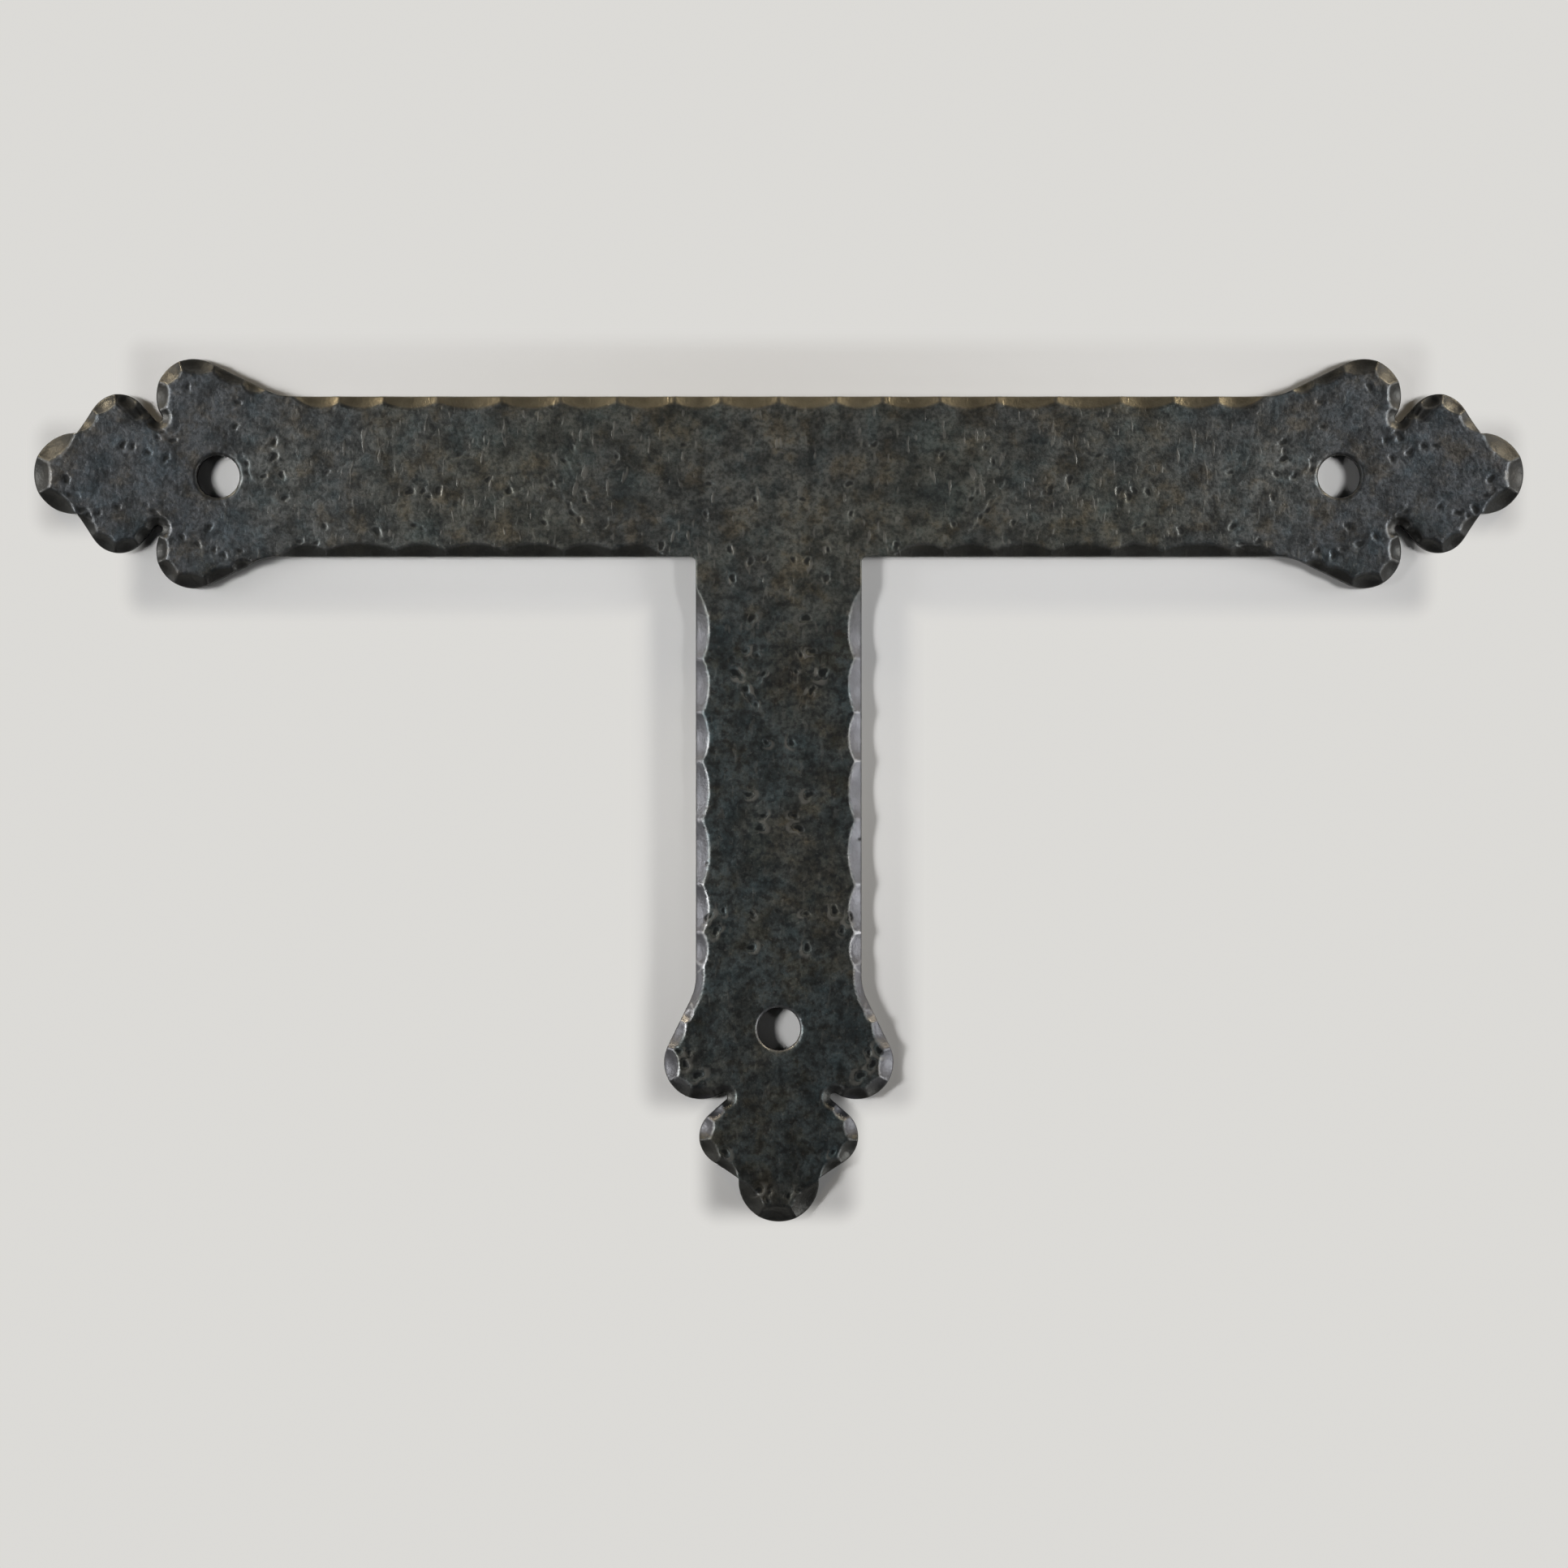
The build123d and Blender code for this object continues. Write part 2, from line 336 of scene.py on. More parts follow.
def crossings(loops, y):
    """Places where a level line crosses the loops, in order."""
    found = []
    for loop in loops:
        after = np.roll(loop, -1, axis=0)
        cut = (loop[:, 1] <= y) != (after[:, 1] <= y)
        share = (y - loop[cut, 1]) / (after[cut, 1] - loop[cut, 1])
        found.append(loop[cut, 0] + share * (after[cut, 0] - loop[cut, 0]))
    return np.sort(np.concatenate(found))


def inside(loops, places):
    """Whether each place lies on the metal."""
    odd = np.zeros(len(places), bool)
    for loop in loops:
        after = np.roll(loop, -1, axis=0)
        for (x0, y0), (x1, y1) in zip(loop, after):
            cut = (y0 <= places[:, 1]) != (y1 <= places[:, 1])
            if cut.any():
                odd[cut] ^= places[cut, 0] < x0 + (places[cut, 1] - y0) / (y1 - y0) * (x1 - x0)
    return odd


def filled(loops, step):
    """Places in a pattern of even triangles that fills the metal."""
    low = loops[0].min(axis=0)
    high = loops[0].max(axis=0)
    row_height = step * math.sqrt(3) / 2
    rows = []
    for number in range(int((high[1] - low[1]) / row_height) + 1):
        y = low[1] + (number + 0.5) * row_height
        start = low[0] + step * (number % 2) / 2
        x_values = np.arange(start, high[0], step)
        inner = np.searchsorted(crossings(loops, y), x_values) % 2 == 1
        rows.append(np.column_stack([x_values[inner], np.full(inner.sum(), y)]))
    return np.vstack(rows)


def distance_to(targets, places):
    """Distance from each place to the nearest of the targets."""
    tree = KDTree(len(targets))
    for number, (x, y) in enumerate(targets):
        tree.insert((x, y, 0), number)
    tree.balance()
    return np.array([tree.find((x, y, 0))[2] for x, y in places])


def ridge_places(facets):
    """Places a short step apart along the rims of the facets."""
    sides = {tuple(sorted(map(tuple, side))) for facet in facets for side in facet.rim}
    found = set()
    for start, end in sorted(sides):
        count = math.ceil(math.dist(start, end) / EDGE_STEP)
        shares = np.linspace(0, 1, count + 1)[:, None]
        drawn = np.array(start) + shares * (np.array(end) - np.array(start))
        found.update(map(tuple, np.round(drawn, DECIMALS)))
    return np.array(sorted(found))


def mark_places():
    """Places on the plate of the pits, and of short steps along the chisel marks."""
    found = [to_plate(pixel) for pixel in PITS]
    for gouge in GOUGES:
        start, end = map(to_plate, gouge)
        found += [start + share * (end - start) for share in np.linspace(0, 1, MARK_STEPS)]
    return np.array(both_halves(found))


def inner_places(loops, facets, rim_angles):
    """Places of the face inside the outline: rows on its rounded rim, then ridges, fine and coarse points."""
    insets = [1 - math.cos(angle) for angle in rim_angles]
    rows = [loop + inward_normals(loop) * RIM_RADIUS * inset for inset in insets for loop in loops]
    outline = np.vstack(loops)
    clear_of_rows = RIM_RADIUS + EDGE_STEP / 2
    ridges = ridge_places(facets)
    ridges = ridges[distance_to(outline, ridges) > clear_of_rows]
    marked = mark_places()
    fine = filled(loops, EDGE_STEP)
    fine_distance = distance_to(outline, fine)
    fine_zone = (fine_distance < EDGE_BAND) | (distance_to(marked, fine) < MARK_BAND)
    fine = fine[(fine_distance > clear_of_rows) & fine_zone]
    fine = fine[distance_to(ridges, fine) > EDGE_STEP * RIDGE_GAP]
    coarse = filled(loops, FACE_STEP)
    coarse = coarse[distance_to(outline, coarse) > EDGE_BAND + FACE_STEP * BAND_GAP]
    coarse = coarse[distance_to(marked, coarse) > MARK_BAND + FACE_STEP * BAND_GAP]
    return np.vstack(rows + [ridges, fine, coarse])


def loop_edges(loops):
    """Pairs of neighbouring points, with the loops' points numbered one loop after another."""
    edges = []
    first = 0
    for loop in loops:
        numbers = np.arange(first, first + len(loop))
        edges += zip(numbers.tolist(), np.roll(numbers, -1).tolist())
        first += len(loop)
    return edges


def triangulated(loops, inner):
    """Triangles over the metal, whose points are the loops' points and then the inner places."""
    places = np.vstack(loops + [inner])
    rim_count = len(places) - len(inner)
    vectors = [Vector(place) for place in places]
    made = delaunay_2d_cdt(vectors, loop_edges(loops), [], 0, TOLERANCE)
    source = np.array([numbers[0] for numbers in made[3]])
    triangles = source[np.array(made[2])]
    all_rim = (triangles < rim_count).all(axis=1)
    on_metal = ~all_rim
    on_metal[all_rim] = inside(loops, places[triangles[all_rim]].mean(axis=1))
    return places, triangles[on_metal]


# Heights of the face

def soft_minimum(a, b, softness):
    """The lower of two heights with the ridge between them rounded, and how much the rounding took off."""
    taken = np.maximum(softness - np.abs(a - b), 0) ** 2 / (4 * softness)
    return np.minimum(a, b) - taken, taken


def fractal(places, length, offset):
    """Smooth unevenness of a given wavelength at each place, about -1 to 1."""
    vectors = [Vector((x / length, y / length, offset)) for x, y in places]
    return np.array([noise.fractal(vector, 1.0, 2.0, OCTAVES) for vector in vectors])


def dished(places, centre, radius):
    """Numbers of the places within a radius of a centre, and their distance as a share of it."""
    offset = places - centre
    near = np.flatnonzero((np.abs(offset) < radius).all(axis=1))
    away = np.hypot(*offset[near].T) / radius
    return near[away < 1], away[away < 1]


def bowl(away):
    """Depth of a smooth bowl, from 1 in its middle to 0 at its rim, at shares of the way out."""
    return np.where(away < 1, (1 - away**2) ** 2, 0)


def lip(away):
    """Height of the metal thrown up beyond the rim of a bowl, at shares of the way out."""
    return np.exp(-((away - LIP_PLACE) / LIP_WIDTH) ** 2)


def pressed(places, centre, radius, depth, lip_share, cut, chance):
    """Sinks one pit of uneven outline, with a lip on the side towards the middle and the foot."""
    near, _ = dished(places, centre, radius * PIT_REACH)
    offset = places[near] - centre
    angle = np.arctan2(offset[:, 1], offset[:, 0])
    first, second = chance.uniform(0, 2 * math.pi, 2)
    two_waves, three_waves = PIT_WAVES
    outline = 1 + two_waves * np.sin(2 * angle + first) + three_waves * np.sin(3 * angle + second)
    away = np.hypot(*offset.T) / (radius * outline)
    lip_angle = math.radians(-LIP_ANGLE if centre[0] < 0 else LIP_ANGLE - 180)
    facing = (1 + np.cos(angle - lip_angle)) / 2
    cut[near] += depth * (bowl(away) - lip_share * lip(away) * facing)


def along_line(places, start, end, reach):
    """Numbers of the places near a line, how far along it they lie, and their offset sideways and endways.

    How far along is given twice: as a share of the line, and in millimetres.
    """
    along = end - start
    length = np.hypot(*along)
    near, _ = dished(places, (start + end) / 2, length / 2 + reach)
    offset = places[near] - start
    share = np.clip(offset @ along / length**2, 0, 1)
    rest = offset - share[:, None] * along
    sideways = rest @ np.array([-along[1], along[0]]) / length
    endways = np.sqrt(np.maximum((rest**2).sum(axis=1) - sideways**2, 0))
    return near, share, share * length, sideways, endways


def scored(places, start, end, cut, chance):
    """Sinks one ragged chisel mark from one place to another, with a lip on both sides."""
    near, share, run, sideways, endways = along_line(places, start, end, GOUGE_REACH * GOUGE_WIDTH)
    first, second = chance.uniform(0, 2 * math.pi, 2)
    sway = GOUGE_SWAY * np.sin(run * GOUGE_SWAY_RATE + first)
    away = np.hypot(sideways - sway, endways) / GOUGE_WIDTH
    between_ends = np.sin(np.pi * np.clip(share, GOUGE_END_REACH, 1 - GOUGE_END_REACH))
    strength = GOUGE_END + (1 - GOUGE_END) * between_ends
    strength *= 1 - GOUGE_PULSE + GOUGE_PULSE * np.sin(run * GOUGE_PULSE_RATE + second)
    cut[near] += GOUGE_DEPTH * strength * (bowl(away) - PIT_LIP * lip(away))


def mirrored_lines(lines):
    """Starts and ends on the plate of lines between pixels, each followed by its mirror image."""
    for start, end in lines:
        yield from zip(both_halves([to_plate(start)]), both_halves([to_plate(end)]))


def scooped(places):
    """Depth of the blunt scoops at each place."""
    cut = np.zeros(len(places))
    for start, end in mirrored_lines(SCOOPS):
        near, _, _, sideways, endways = along_line(places, start, end, SCOOP_WIDTH)
        away = np.hypot(sideways, endways) / SCOOP_WIDTH
        cut[near] += SCOOP_DEPTH * np.maximum(1 - away**2, 0) ** SCOOP_POWER
    return cut


def spotted(places, spots):
    """How strong the spots, which fade towards their rims, are at each place."""
    share = np.zeros(len(places))
    for x, y, radius in spots:
        for centre in both_halves([to_plate((x, y))]):
            near, away = dished(places, centre, radius * MM_PER_PIXEL)
            share[near] = np.maximum(share[near], bowl(away))
    return share


def smooth_step(value, low, high):
    """Rises smoothly from 0 to 1 as a value goes from one limit to the other."""
    share = np.clip((value - low) / (high - low), 0, 1)
    return share**2 * (3 - 2 * share)


def painted_leg_highlight(places):
    """How far the bevels of the leg are painted pale at each place, as a painted highlight."""
    strip = smooth_step(places[:, 1], *LEG_HIGHLIGHT_START) * smooth_step(places[:, 1], *LEG_HIGHLIGHT_END)
    return np.maximum(strip, smooth_step(spotted(places, LEG_HIGHLIGHT_SPOTS), 0.0, LEG_HIGHLIGHT_SPOT_FULL))


def marks(places):
    """Depth of the pits and chisel marks at each place, below zero on their raised lips."""
    cut = np.zeros(len(places))
    chance = np.random.default_rng(DENT_SEED)
    for centre in both_halves([to_plate(pixel) for pixel in PITS]):
        size = chance.uniform(*PIT_SIZES)
        pressed(places, centre, PIT_RADIUS * size, PIT_DEPTH * size, PIT_LIP, cut, chance)
    for start, end in mirrored_lines(GOUGES):
        scored(places, start, end, cut, chance)
    low, high = places.min(axis=0), places.max(axis=0)
    for _ in range(SPECK_COUNT):
        centre = chance.uniform(low, high)
        radius = chance.uniform(*SPECK_RADIUS)
        depth = chance.uniform(*SPECK_DEPTH)
        pressed(places, centre, radius, depth, SPECK_LIP, cut, chance)
    return cut


def hammering(places):
    """Depth of the shallow unevenness that the hammer left on the face."""
    chance = np.random.default_rng(DENT_SEED + 1)
    low, high = places.min(axis=0), places.max(axis=0)
    cut = np.zeros(len(places))
    for _ in range(DENT_COUNT):
        centre = chance.uniform(low, high)
        depth = chance.uniform(*DENT_DEPTH)
        near, away = dished(places, centre, chance.uniform(*DENT_RADIUS))
        cut[near] = np.maximum(cut[near], depth * (1 - away**2))
    waves = fractal(places, WAVE_LENGTH, WAVE_SLICE)
    grain = fractal(places, GRAIN_LENGTH, GRAIN_SLICE)
    return cut + WAVE_DEPTH * (1 + waves) / 2 + GRAIN_DEPTH * np.abs(grain)


def face_heights(places, distance, bevels, thickness):
    """Height of the face at each place, with the measures that its finish goes by."""
    height = np.full(len(places), thickness)
    ridge = np.zeros(len(places))
    for bevel in bevels:
        numbers, bevel_height = bevel.heights(places)
        lower, taken = soft_minimum(height[numbers], bevel_height, RIDGE_SOFTNESS)
        height[numbers] = lower
        ridge[numbers] += taken * 4 / RIDGE_SOFTNESS
    fall = thickness - height
    pits = marks(places)
    scoops = scooped(places)
    height = height - hammering(places) - pits - scoops
    inset = np.clip(1 - distance / RIM_RADIUS, 0, 1)
    height -= RIM_RADIUS * (1 - np.sqrt(1 - inset**2))
    measures = {
        "ridge": ridge,
        "bevel": fall,
        # the scoops count as half-deep pits, so that they are painted dark: painted shade in the hollow
        # beside each slit
        "pit": pits + scoops / 2,
        "leg_highlight": painted_leg_highlight(places),
        "stain": spotted(places, STAINS),
        # pale patches, the one at the crossing being painted light
        "pale": spotted(places, PALE_PATCHES_AND_PAINTED_LIGHT),
    }
    return np.minimum(height, thickness), measures


# The plate

def side_rings(loops, rim_height):
    """Rings of points down the cut sides, the last one being the edge of the back."""
    rim = np.vstack(loops)
    level = np.ones(len(rim))
    normals = np.vstack([inward_normals(loop) for loop in loops])
    wander = WALL_WAVE * np.abs(fractal(rim, WALL_WAVE_LENGTH, WALL_SLICE))[:, None] * normals
    return [
        np.column_stack([rim + wander, rim_height / 2]),
        np.column_stack([rim + wander / 2, level * RIM_RADIUS]),
        np.column_stack([rim + normals * RIM_RADIUS * ROUND_MIDDLE, level * RIM_RADIUS * ROUND_MIDDLE]),
        np.column_stack([rim + normals * RIM_RADIUS, level * 0]),
    ]


def measured_mesh(name, points, faces, measures):
    """A smooth mesh, the first of whose points carry the measures that the finish goes by."""
    mesh = bpy.data.meshes.new(name)
    mesh.from_pydata(points.tolist(), [], faces)
    mesh.polygons.foreach_set("use_smooth", np.ones(len(mesh.polygons), bool))
    for measure, values in measures.items():
        spread = np.zeros(len(points), np.float32)
        spread[:len(values)] = values
        mesh.attributes.new(measure, "FLOAT", "POINT").data.foreach_set("value", spread)
    mesh.validate()
    return mesh


def plate_mesh():
    """The whole plate: face, cut sides and back."""
    loops, facets, thickness = read_solid()
    loops = sorted((smooth_loop(loop) for loop in loops), key=len, reverse=True)
    outer = loops[0]
    rim_count = sum(len(loop) for loop in loops)
    rim_angles = np.linspace(0, math.pi / 2, RIM_ROWS + 1)
    places, triangles = triangulated(loops, inner_places(loops, facets, rim_angles[1:]))
    row_distance = np.repeat(RIM_RADIUS * (1 - np.cos(rim_angles)), rim_count)
    distance = np.append(row_distance, np.full(len(places) - len(row_distance), EDGE_BAND))
    bevels = facets + [RootBevel(outer, thickness)]
    height, measures = face_heights(places, distance, bevels, thickness)
    for row in range(RIM_ROWS + 1):
        measures["ridge"][row * rim_count + len(outer):(row + 1) * rim_count] = HOLE_WEAR

    rings = side_rings(loops, height[:rim_count])
    points = np.vstack([np.column_stack([places, height])] + rings)
    faces = triangles.tolist()
    starts = [0] + [len(places) + number * rim_count for number in range(len(rings))]
    for upper, lower in zip(starts, starts[1:]):
        for a, b in loop_edges(loops):
            faces.append((upper + a, lower + a, lower + b, upper + b))
    back_loops = np.split(rings[-1][:, :2], np.cumsum([len(loop) for loop in loops])[:-1])
    _, back = triangulated(back_loops, np.empty((0, 2)))
    faces += (back[:, ::-1] + starts[-1]).tolist()
    return measured_mesh("strap_plate", points * MM, faces, measures)


# Finish

class Nodes:
    """Adds nodes to a material and joins them."""

    def __init__(self, name):
        self.material = bpy.data.materials.new(name)
        self.material.use_nodes = True
        self.tree = self.material.node_tree
        self.shader = self.tree.nodes["Principled BSDF"]

    def add(self, kind, **inputs):
        """A new node with its inputs set or joined."""
        node = self.tree.nodes.new(kind)
        for name, value in inputs.items():
            self.set(node, name, value)
        return node

    def set(self, node, name, value):
        """Joins an input to a socket, or gives it a value."""
        if isinstance(value, bpy.types.NodeSocket):
            self.tree.links.new(value, node.inputs[name])
        else:
            node.inputs[name].default_value = value

    def noise(self, vector, scale, detail, roughness=0.55):
        """Noise about 0.5."""
        node = self.add("ShaderNodeTexNoise", Vector=vector, Scale=scale, Detail=detail, Roughness=roughness)
        return node.outputs["Fac"]

    def measure(self, name):
        """A measure that the mesh's points carry."""
        node = self.add("ShaderNodeAttribute")
        node.attribute_name = name
        return node.outputs["Fac"]

    def ramp(self, value, low, high, start=0.0, end=1.0):
        """Goes smoothly from start to end as a value goes from low to high."""
        node = self.add("ShaderNodeMapRange")
        node.interpolation_type = "SMOOTHSTEP"
        for name, number in (("From Min", low), ("From Max", high), ("To Min", start), ("To Max", end)):
            node.inputs[name].default_value = number
        self.set(node, "Value", value)
        return node.outputs["Result"]

    def maths(self, operation, a, b=0.0):
        """The result of an operation on one or two numbers."""
        node = self.add("ShaderNodeMath")
        node.operation = operation
        self.set(node, 0, a)
        self.set(node, 1, b)
        return node.outputs[0]

    def times(self, a, b):
        """One number times another."""
        return self.maths("MULTIPLY", a, b)

    def vector_maths(self, operation, a, b=(0, 0, 0), output="Vector"):
        """The result of an operation on one or two vectors."""
        node = self.add("ShaderNodeVectorMath")
        node.operation = operation
        self.set(node, 0, a)
        self.set(node, 1, b)
        return node.outputs[output]

    def blend(self, share, a, b, kind="MIX"):
        """Goes from one colour to another; 6, 7 and 2 are the node's sockets for colours."""
        node = self.add("ShaderNodeMix")
        node.data_type = "RGBA"
        node.blend_type = kind
        self.set(node, 0, share)
        self.set(node, 6, a)
        self.set(node, 7, b)
        return node.outputs[2]


# Colours of the iron
BLUE_BLACK = (0.107, 0.115, 0.126, 1)
OLIVE_BLACK = (0.146, 0.149, 0.129, 1)
TEAL_BLACK = (0.088, 0.106, 0.108, 1)
LEG_OLIVE = (0.104, 0.102, 0.086, 1)
DARK_SCALE = (0.034, 0.036, 0.036, 1)
# dark scale in the pits, made darker still as painted shade; the leg's darkest, where its lamps reach in from
# both sides
PIT_SCALE_AND_SHADE = (0.022, 0.022, 0.021, 1)
LEG_PIT_SCALE_AND_SHADE = (0.007, 0.008, 0.008, 1)
STAIN = (0.038, 0.052, 0.056, 1)
PALE = (0.215, 0.22, 0.20, 1)
RUST = (0.085, 0.052, 0.034, 1)
FLECK = (0.205, 0.20, 0.18, 1)
WARM_TINGE = (1.20, 1.0, 0.78, 1)      # what the finish is multiplied by
COOL_TINGE = (0.86, 1.02, 1.10, 1)
BEVEL_TONE = (0.049, 0.048, 0.044, 1)
# black scale of the cut sides, darkened further as painted shade in the holes
WALL_SCALE_AND_SHADE = (0.022, 0.022, 0.021, 1)
# brown tint, and painted light: the upper bevel is paler than the under one, as if lit from above
BROWN_LIT_TOP_BEVEL = (0.135, 0.119, 0.084, 1)
WORN = (0.12, 0.12, 0.116, 1)
# painted highlight on the leg's bevels, and on its worn ridges there
LEG_BEVEL_HIGHLIGHT = (0.125, 0.125, 0.137, 1)
LEG_WEAR_AND_HIGHLIGHT = (0.36, 0.36, 0.37, 1)
METALLIC = 0.8

# Where the finish changes, in metres
LEG_START = (-0.020, -0.040)      # where the darker finish of the leg begins and is complete
FINIAL_START = (0.070, 0.135)     # where the bluish finish of the bar's ends begins and is complete
TOP_START = (0.010, 0.014)        # the bar's upper bevel is browner and painted paler, from here up
TOP_END = (0.112, 0.120)          # and as far out as this

# Strength of some colours on the bar's middle and then on its ends or the leg
OLIVE_TO_ENDS = (1.0, 0.1)
FLECKS_TO_ENDS = (1.0, 0.2)
FLECKS_TO_LEG = (1.0, 0.3)
GRAIN_TO_LEG = (0.6, 0.9)

# Noises: cells to the metre, detail, and roughness where it is not the usual one
PATCH_NOISE = (42.0, 3.0)
RUST_NOISE = (75.0, 4.0)
RUB_NOISE = (90.0, 2.0)
TINGE_NOISE = (140.0, 4.0, 0.65)
MOTTLE_NOISE = (190.0, 3.0, 0.5)
FLECK_NOISE = (230.0, 1.0)
GRAIN_NOISE = (620.0, 3.0)
SPECKLE_NOISE = (1500.0, 2.0)
FLECK_STRETCH = (3.2, 1.0, 1.0)   # how much narrower than high the flecks are
FLECK_TURN = 25.0                 # degrees that their noise is turned by after that; they stay upright

# Shares of the colours: a noise at the start and the end of a ramp, and then the share at each
OLIVE_PATCHES = (0.34, 0.66, 0.55, 1.0)
LEG_OLIVE_PATCHES = (0.46, 0.66)
DARK_MOTTLE = (0.58, 0.36, 0.0, 0.38)
DARK_GRAIN = (0.58, 0.34)
DARK_SPECKLE = (0.55, 0.34, 0.0, 0.45)
PALE_SPECKLE = (0.58, 0.78, 0.0, 0.4)
WARM_SHARE = (0.50, 0.68, 0.0, 0.7)
COOL_SHARE = (0.50, 0.32, 0.0, 0.7)
RUST_SHARE = (0.66, 0.80, 0.0, 0.35)
FLECK_SHARE = (0.63, 0.73, 0.0, 0.7)
RUBBED_SHARE = (0.36, 0.68, 0.1, 0.7)
MOTTLE_ROUGHNESS = (0.3, 0.7, 0.38, 0.50)

# The same by the measures of the mesh, of which bevel and pit are depths in millimetres
PALE_SHARE = 0.5
STAIN_SHARE = 0.7
BEVEL_SHARE = (0.05, 0.5, 0.0, 0.85)
PIT_SHARE = (0.04, 0.20, 0.0, 0.85)
LIP_SHARE = (-0.008, -0.030, 0.0, 0.6)
RIDGE_SHARE = (0.0, 0.9)
WALL_SHARE = (0.35, 0.15, 0.0, 0.8)      # by the vertical share of the surface's normal
PIT_ROUGHNESS = (0.0, 0.006, 0.0, 0.3)   # by the square of the pit's depth

# Fine relief of the scale, in metres
RELIEF_DEPTH = 0.0002
RELIEF_STRENGTH = 0.45
FINE_RELIEF = 0.5                 # flecks and speckle, as a share of the grain


def forged_iron():
    """Blackened iron: bluish and olive patches, pits dark with scale and painted shade, pale flecks of scale,
    paler worn ridges, painted highlights on some bevels and painted light at the crossing.
    """
    n = Nodes("blackened_iron")
    place = n.add("ShaderNodeTexCoord").outputs["Object"]
    x, y, z = n.add("ShaderNodeSeparateXYZ", Vector=place).outputs
    across = n.maths("ABSOLUTE", x)
    leg = n.ramp(y, *LEG_START)
    leg_highlight = n.measure("leg_highlight")
    pit = n.measure("pit")

    # Patches, mottling and rust of the blackened face
    patches = n.noise(place, *PATCH_NOISE)
    mottle = n.noise(place, *MOTTLE_NOISE)
    grain = n.noise(place, *GRAIN_NOISE)
    speckle = n.noise(place, *SPECKLE_NOISE)
    tinge = n.noise(place, *TINGE_NOISE)
    olive = n.times(n.ramp(patches, *OLIVE_PATCHES), n.ramp(across, *FINIAL_START, *OLIVE_TO_ENDS))
    bar_tone = n.blend(olive, BLUE_BLACK, OLIVE_BLACK)
    leg_tone = n.blend(n.ramp(patches, *LEG_OLIVE_PATCHES), TEAL_BLACK, LEG_OLIVE)
    colour = n.blend(leg, bar_tone, leg_tone)
    # pale patches, the one at the crossing being painted light
    colour = n.blend(n.times(n.measure("pale"), PALE_SHARE), colour, PALE)
    colour = n.blend(n.times(n.measure("stain"), STAIN_SHARE), colour, STAIN)
    colour = n.blend(n.ramp(mottle, *DARK_MOTTLE), colour, DARK_SCALE)
    dark_grain = n.times(n.ramp(grain, *DARK_GRAIN), n.ramp(y, *LEG_START, *GRAIN_TO_LEG))
    colour = n.blend(dark_grain, colour, DARK_SCALE)
    colour = n.blend(n.ramp(speckle, *DARK_SPECKLE), colour, DARK_SCALE)
    colour = n.blend(n.ramp(speckle, *PALE_SPECKLE), colour, FLECK)
    colour = n.blend(n.ramp(tinge, *WARM_SHARE), colour, WARM_TINGE, "MULTIPLY")
    colour = n.blend(n.ramp(tinge, *COOL_SHARE), colour, COOL_TINGE, "MULTIPLY")
    colour = n.blend(n.ramp(n.noise(place, *RUST_NOISE), *RUST_SHARE), colour, RUST)

    # Short pale upright flecks where the scale has flaked, mirrored from one arm to the other
    folded = n.add("ShaderNodeCombineXYZ", X=across, Y=y, Z=z).outputs["Vector"]
    turn = (0, 0, math.radians(FLECK_TURN))
    stretched = n.add("ShaderNodeMapping", Vector=folded, Rotation=turn, Scale=FLECK_STRETCH)
    flecks = n.ramp(n.noise(stretched.outputs["Vector"], *FLECK_NOISE), *FLECK_SHARE)
    flecks = n.times(flecks, n.ramp(across, *FINIAL_START, *FLECKS_TO_ENDS))
    flecks = n.times(flecks, n.ramp(y, *LEG_START, *FLECKS_TO_LEG))
    colour = n.blend(flecks, colour, FLECK)

    # Bevels, painted paler as highlights on the bar's upper side and on the leg; pits and scoops, dark with
    # scale and painted shade; their pale lips on the dark leg; and worn ridges
    top = n.times(n.ramp(y, *TOP_START), n.ramp(across, *TOP_END, 1.0, 0.0))
    bevel_tone = n.blend(top, n.blend(leg_highlight, BEVEL_TONE, LEG_BEVEL_HIGHLIGHT), BROWN_LIT_TOP_BEVEL)
    colour = n.blend(n.ramp(n.measure("bevel"), *BEVEL_SHARE), colour, bevel_tone)
    colour = n.blend(n.ramp(pit, *PIT_SHARE), colour, n.blend(leg, PIT_SCALE_AND_SHADE, LEG_PIT_SCALE_AND_SHADE))
    colour = n.blend(n.times(n.ramp(pit, *LIP_SHARE), leg), colour, FLECK)
    rubbing = n.ramp(n.noise(place, *RUB_NOISE), *RUBBED_SHARE)
    worn = n.times(n.ramp(n.measure("ridge"), *RIDGE_SHARE), rubbing)
    # on the leg the worn ridges also carry the painted highlight
    colour = n.blend(worn, colour, n.blend(leg_highlight, WORN, LEG_WEAR_AND_HIGHLIGHT))

    # Cut sides and the walls of the holes: black scale, made darker still so that the holes hold deep shade
    # (painted shade)
    facing = n.add("ShaderNodeNewGeometry").outputs["Normal"]
    rise = n.add("ShaderNodeSeparateXYZ", Vector=facing).outputs["Z"]
    colour = n.blend(n.ramp(n.maths("ABSOLUTE", rise), *WALL_SHARE), colour, WALL_SCALE_AND_SHADE)

